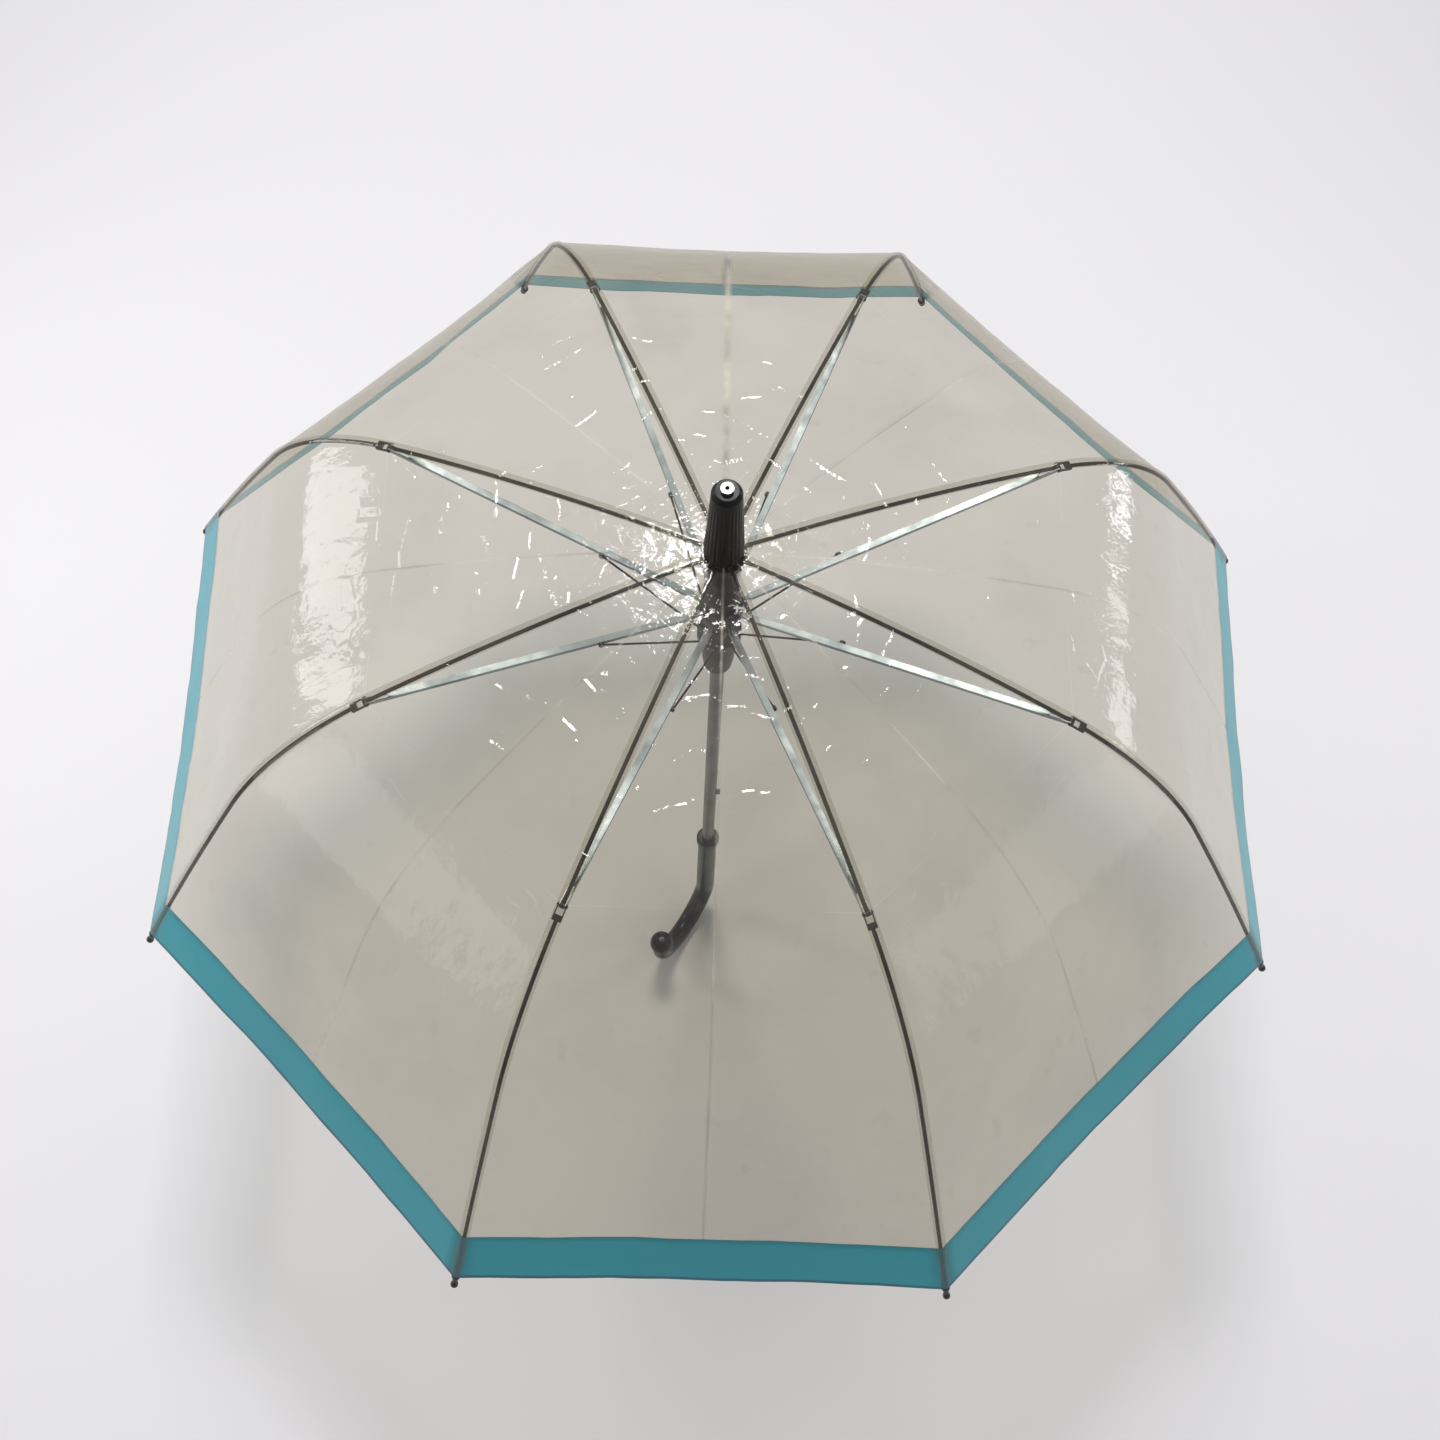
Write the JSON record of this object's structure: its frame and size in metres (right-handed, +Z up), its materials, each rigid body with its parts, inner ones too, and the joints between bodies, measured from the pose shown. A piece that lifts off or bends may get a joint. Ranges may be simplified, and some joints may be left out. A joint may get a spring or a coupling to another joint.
{
  "type": "clear bubble umbrella",
  "caption": "Deep dome umbrella with clear film gores, a translucent border, slim steel ribs, twin runners, a straight shaft and a crook handle; it folds.",
  "frame": {"origin": "on the shaft's axis at the middle of the straight hand grip", "axes": "+Z up the shaft towards the ferrule; +X through the catch button; the first rib is 22.5 degrees round from +X towards +Y"},
  "size_m": [0.8178, 0.8178, 0.772],
  "materials": {
    "clear_film": "clear, glossy, slightly warm film",
    "border_film": "translucent teal film border",
    "rib_steel": "dark grey enamelled steel rod with a black moulded end cap",
    "channel_steel": "bright plated pressed steel",
    "link_wire": "dark steel wire",
    "shaft_steel": "grey satin steel tube",
    "bright_steel": "bright plated steel",
    "black_plastic": "black moulded plastic, satin",
    "ferrule_plastic": "black moulded plastic with fine lengthwise flutes",
    "handle_plastic": "black moulded plastic, semi-gloss",
    "button_plastic": "dark moulded plastic"
  },
  "bodies": {
    "root": {"shaft": "shaft_steel", "crown": "black_plastic", "bell": "black_plastic", "ferrule": "ferrule_plastic", "ferrule_ring": "bright_steel", "catch_spring": "bright_steel", "handle_collar": "black_plastic", "handle": "handle_plastic", "handle_cap": "handle_plastic"},
    "button": {"button": "button_plastic"},
    "runner": {"runner": "black_plastic"},
    "runner_lower": {"runner_lower": "black_plastic"},
    "rib_upper_1": {"rib_upper_1": "rib_steel", "film_upper_1": "clear_film"},
    "rib_lower_1": {"rib_lower_1": "rib_steel", "film_lower_1": "clear_film"},
    "stretcher_1": {"stretcher_1": "channel_steel"},
    "link_1": {"link_1": "link_wire"},
    "rib_upper_2": {"rib_upper_2": "rib_steel", "film_upper_2": "clear_film"},
    "rib_lower_2": {"rib_lower_2": "rib_steel", "film_lower_2": "clear_film"},
    "stretcher_2": {"stretcher_2": "channel_steel"},
    "link_2": {"link_2": "link_wire"},
    "rib_upper_3": {"rib_upper_3": "rib_steel", "film_upper_3": "clear_film"},
    "rib_lower_3": {"rib_lower_3": "rib_steel", "film_lower_3": "clear_film"},
    "stretcher_3": {"stretcher_3": "channel_steel"},
    "link_3": {"link_3": "link_wire"},
    "rib_upper_4": {"rib_upper_4": "rib_steel", "film_upper_4": "clear_film"},
    "rib_lower_4": {"rib_lower_4": "rib_steel", "film_lower_4": "clear_film"},
    "stretcher_4": {"stretcher_4": "channel_steel"},
    "link_4": {"link_4": "link_wire"},
    "rib_upper_5": {"rib_upper_5": "rib_steel", "film_upper_5": "clear_film"},
    "rib_lower_5": {"rib_lower_5": "rib_steel", "film_lower_5": "clear_film"},
    "stretcher_5": {"stretcher_5": "channel_steel"},
    "link_5": {"link_5": "link_wire"},
    "rib_upper_6": {"rib_upper_6": "rib_steel", "film_upper_6": "clear_film"},
    "rib_lower_6": {"rib_lower_6": "rib_steel", "film_lower_6": "clear_film"},
    "stretcher_6": {"stretcher_6": "channel_steel"},
    "link_6": {"link_6": "link_wire"},
    "rib_upper_7": {"rib_upper_7": "rib_steel", "film_upper_7": "clear_film"},
    "rib_lower_7": {"rib_lower_7": "rib_steel", "film_lower_7": "clear_film"},
    "stretcher_7": {"stretcher_7": "channel_steel"},
    "link_7": {"link_7": "link_wire"},
    "rib_upper_8": {"rib_upper_8": "rib_steel", "film_upper_8": "clear_film"},
    "rib_lower_8": {"rib_lower_8": "rib_steel", "film_lower_8": "clear_film"},
    "stretcher_8": {"stretcher_8": "channel_steel"},
    "link_8": {"link_8": "link_wire"}
  },
  "joints": [
    {"name": "fold", "type": "hinge", "parent": "root", "child": "rib_upper_1", "pos_m": [0.01201, 0.00497, 0.586], "axis": [-0.3827, 0.9239, 0], "range_deg": [0, 72], "stiffness_Nm_per_rad": 1, "springref_deg": -85.94, "deforming": ["film_upper_1", "film_lower_1", "film_upper_2", "film_lower_2", "film_upper_3", "film_lower_3", "film_upper_4", "film_lower_4", "film_upper_5", "film_lower_5", "film_upper_6", "film_lower_6", "film_upper_7", "film_lower_7", "film_upper_8", "film_lower_8"]},
    {"name": "rib_bend_1", "type": "hinge", "parent": "rib_upper_1", "child": "rib_lower_1", "pos_m": [0.21988, 0.09108, 0.548], "axis": [-0.3827, 0.9239, 0], "range_deg": [-42.05, 0]},
    {"name": "stretcher_turn_1", "type": "hinge", "parent": "rib_upper_1", "child": "stretcher_1", "pos_m": [0.21988, 0.09108, 0.548], "axis": [-0.3827, 0.9239, 0], "range_deg": [-144.05, 0]},
    {"name": "link_turn_1", "type": "hinge", "parent": "stretcher_1", "child": "link_1", "pos_m": [0.07783, 0.03224, 0.52203], "axis": [-0.3827, 0.9239, 0], "range_deg": [0, 24]},
    {"name": "rib_fold_2", "type": "hinge", "parent": "root", "child": "rib_upper_2", "pos_m": [0.00497, 0.01201, 0.586], "axis": [-0.9239, 0.3827, 0], "range_deg": [0, 72.01]},
    {"name": "rib_bend_2", "type": "hinge", "parent": "rib_upper_2", "child": "rib_lower_2", "pos_m": [0.09108, 0.21988, 0.548], "axis": [-0.9239, 0.3827, 0], "range_deg": [-42.05, 0]},
    {"name": "stretcher_turn_2", "type": "hinge", "parent": "rib_upper_2", "child": "stretcher_2", "pos_m": [0.09108, 0.21988, 0.548], "axis": [-0.9239, 0.3827, 0], "range_deg": [-144.05, 0]},
    {"name": "link_turn_2", "type": "hinge", "parent": "stretcher_2", "child": "link_2", "pos_m": [0.03224, 0.07783, 0.52203], "axis": [-0.9239, 0.3827, 0], "range_deg": [0, 24]},
    {"name": "rib_fold_3", "type": "hinge", "parent": "root", "child": "rib_upper_3", "pos_m": [-0.00497, 0.01201, 0.586], "axis": [-0.9239, -0.3827, 0], "range_deg": [0, 72.01]},
    {"name": "rib_bend_3", "type": "hinge", "parent": "rib_upper_3", "child": "rib_lower_3", "pos_m": [-0.09108, 0.21988, 0.548], "axis": [-0.9239, -0.3827, 0], "range_deg": [-42.05, 0]},
    {"name": "stretcher_turn_3", "type": "hinge", "parent": "rib_upper_3", "child": "stretcher_3", "pos_m": [-0.09108, 0.21988, 0.548], "axis": [-0.9239, -0.3827, 0], "range_deg": [-144.05, 0]},
    {"name": "link_turn_3", "type": "hinge", "parent": "stretcher_3", "child": "link_3", "pos_m": [-0.03224, 0.07783, 0.52203], "axis": [-0.9239, -0.3827, 0], "range_deg": [0, 24]},
    {"name": "rib_fold_4", "type": "hinge", "parent": "root", "child": "rib_upper_4", "pos_m": [-0.01201, 0.00497, 0.586], "axis": [-0.3827, -0.9239, 0], "range_deg": [0, 72.01]},
    {"name": "rib_bend_4", "type": "hinge", "parent": "rib_upper_4", "child": "rib_lower_4", "pos_m": [-0.21988, 0.09108, 0.548], "axis": [-0.3827, -0.9239, 0], "range_deg": [-42.05, 0]},
    {"name": "stretcher_turn_4", "type": "hinge", "parent": "rib_upper_4", "child": "stretcher_4", "pos_m": [-0.21988, 0.09108, 0.548], "axis": [-0.3827, -0.9239, 0], "range_deg": [-144.05, 0]},
    {"name": "link_turn_4", "type": "hinge", "parent": "stretcher_4", "child": "link_4", "pos_m": [-0.07783, 0.03224, 0.52203], "axis": [-0.3827, -0.9239, 0], "range_deg": [0, 24]},
    {"name": "rib_fold_5", "type": "hinge", "parent": "root", "child": "rib_upper_5", "pos_m": [-0.01201, -0.00497, 0.586], "axis": [0.3827, -0.9239, 0], "range_deg": [0, 72.01]},
    {"name": "rib_bend_5", "type": "hinge", "parent": "rib_upper_5", "child": "rib_lower_5", "pos_m": [-0.21988, -0.09108, 0.548], "axis": [0.3827, -0.9239, 0], "range_deg": [-42.05, 0]},
    {"name": "stretcher_turn_5", "type": "hinge", "parent": "rib_upper_5", "child": "stretcher_5", "pos_m": [-0.21988, -0.09108, 0.548], "axis": [0.3827, -0.9239, 0], "range_deg": [-144.05, 0]},
    {"name": "link_turn_5", "type": "hinge", "parent": "stretcher_5", "child": "link_5", "pos_m": [-0.07783, -0.03224, 0.52203], "axis": [0.3827, -0.9239, 0], "range_deg": [0, 24]},
    {"name": "rib_fold_6", "type": "hinge", "parent": "root", "child": "rib_upper_6", "pos_m": [-0.00497, -0.01201, 0.586], "axis": [0.9239, -0.3827, 0], "range_deg": [0, 72.01]},
    {"name": "rib_bend_6", "type": "hinge", "parent": "rib_upper_6", "child": "rib_lower_6", "pos_m": [-0.09108, -0.21988, 0.548], "axis": [0.9239, -0.3827, 0], "range_deg": [-42.05, 0]},
    {"name": "stretcher_turn_6", "type": "hinge", "parent": "rib_upper_6", "child": "stretcher_6", "pos_m": [-0.09108, -0.21988, 0.548], "axis": [0.9239, -0.3827, 0], "range_deg": [-144.05, 0]},
    {"name": "link_turn_6", "type": "hinge", "parent": "stretcher_6", "child": "link_6", "pos_m": [-0.03224, -0.07783, 0.52203], "axis": [0.9239, -0.3827, 0], "range_deg": [0, 24]},
    {"name": "rib_fold_7", "type": "hinge", "parent": "root", "child": "rib_upper_7", "pos_m": [0.00497, -0.01201, 0.586], "axis": [0.9239, 0.3827, 0], "range_deg": [0, 72.01]},
    {"name": "rib_bend_7", "type": "hinge", "parent": "rib_upper_7", "child": "rib_lower_7", "pos_m": [0.09108, -0.21988, 0.548], "axis": [0.9239, 0.3827, 0], "range_deg": [-42.05, 0]},
    {"name": "stretcher_turn_7", "type": "hinge", "parent": "rib_upper_7", "child": "stretcher_7", "pos_m": [0.09108, -0.21988, 0.548], "axis": [0.9239, 0.3827, 0], "range_deg": [-144.05, 0]},
    {"name": "link_turn_7", "type": "hinge", "parent": "stretcher_7", "child": "link_7", "pos_m": [0.03224, -0.07783, 0.52203], "axis": [0.9239, 0.3827, 0], "range_deg": [0, 24]},
    {"name": "rib_fold_8", "type": "hinge", "parent": "root", "child": "rib_upper_8", "pos_m": [0.01201, -0.00497, 0.586], "axis": [0.3827, 0.9239, 0], "range_deg": [0, 72.01]},
    {"name": "rib_bend_8", "type": "hinge", "parent": "rib_upper_8", "child": "rib_lower_8", "pos_m": [0.21988, -0.09108, 0.548], "axis": [0.3827, 0.9239, 0], "range_deg": [-42.05, 0]},
    {"name": "stretcher_turn_8", "type": "hinge", "parent": "rib_upper_8", "child": "stretcher_8", "pos_m": [0.21988, -0.09108, 0.548], "axis": [0.3827, 0.9239, 0], "range_deg": [-144.05, 0]},
    {"name": "link_turn_8", "type": "hinge", "parent": "stretcher_8", "child": "link_8", "pos_m": [0.07783, -0.03224, 0.52203], "axis": [0.3827, 0.9239, 0], "range_deg": [0, 24]},
    {"name": "runner_pivot", "type": "hinge", "parent": "stretcher_1", "child": "runner", "pos_m": [0.01201, 0.00497, 0.51], "axis": [-0.3827, 0.9239, 0], "range_deg": [0, 72.05]},
    {"name": "runner_lower_slide", "type": "slide", "parent": "runner", "child": "runner_lower", "axis": [0, 0, 1], "range_m": [0, 0.0222]},
    {"name": "button_press", "type": "slide", "parent": "root", "child": "button", "axis": [-1, 0, 0], "range_m": [0, 0.0024], "stiffness_N_per_m": 600, "springref_m": -0.002, "deforming": ["catch_spring"]}
  ],
  "couplings": [
    {"joint": "rib_bend_1", "follows": "fold", "ratio": -0.58333},
    {"joint": "stretcher_turn_1", "follows": "fold", "ratio": -2},
    {"joint": "link_turn_1", "follows": "fold", "ratio": 0.32182},
    {"joint": "rib_fold_2", "follows": "fold", "ratio": 1},
    {"joint": "rib_bend_2", "follows": "fold", "ratio": -0.58333},
    {"joint": "stretcher_turn_2", "follows": "fold", "ratio": -2},
    {"joint": "link_turn_2", "follows": "fold", "ratio": 0.32182},
    {"joint": "rib_fold_3", "follows": "fold", "ratio": 1},
    {"joint": "rib_bend_3", "follows": "fold", "ratio": -0.58333},
    {"joint": "stretcher_turn_3", "follows": "fold", "ratio": -2},
    {"joint": "link_turn_3", "follows": "fold", "ratio": 0.32182},
    {"joint": "rib_fold_4", "follows": "fold", "ratio": 1},
    {"joint": "rib_bend_4", "follows": "fold", "ratio": -0.58333},
    {"joint": "stretcher_turn_4", "follows": "fold", "ratio": -2},
    {"joint": "link_turn_4", "follows": "fold", "ratio": 0.32182},
    {"joint": "rib_fold_5", "follows": "fold", "ratio": 1},
    {"joint": "rib_bend_5", "follows": "fold", "ratio": -0.58333},
    {"joint": "stretcher_turn_5", "follows": "fold", "ratio": -2},
    {"joint": "link_turn_5", "follows": "fold", "ratio": 0.32182},
    {"joint": "rib_fold_6", "follows": "fold", "ratio": 1},
    {"joint": "rib_bend_6", "follows": "fold", "ratio": -0.58333},
    {"joint": "stretcher_turn_6", "follows": "fold", "ratio": -2},
    {"joint": "link_turn_6", "follows": "fold", "ratio": 0.32182},
    {"joint": "rib_fold_7", "follows": "fold", "ratio": 1},
    {"joint": "rib_bend_7", "follows": "fold", "ratio": -0.58333},
    {"joint": "stretcher_turn_7", "follows": "fold", "ratio": -2},
    {"joint": "link_turn_7", "follows": "fold", "ratio": 0.32182},
    {"joint": "rib_fold_8", "follows": "fold", "ratio": 1},
    {"joint": "rib_bend_8", "follows": "fold", "ratio": -0.58333},
    {"joint": "stretcher_turn_8", "follows": "fold", "ratio": -2},
    {"joint": "link_turn_8", "follows": "fold", "ratio": 0.32182},
    {"joint": "runner_pivot", "follows": "fold", "ratio": 1},
    {"joint": "runner_lower_slide", "follows": "fold", "m_per_rad": 0.017387}
  ]
}
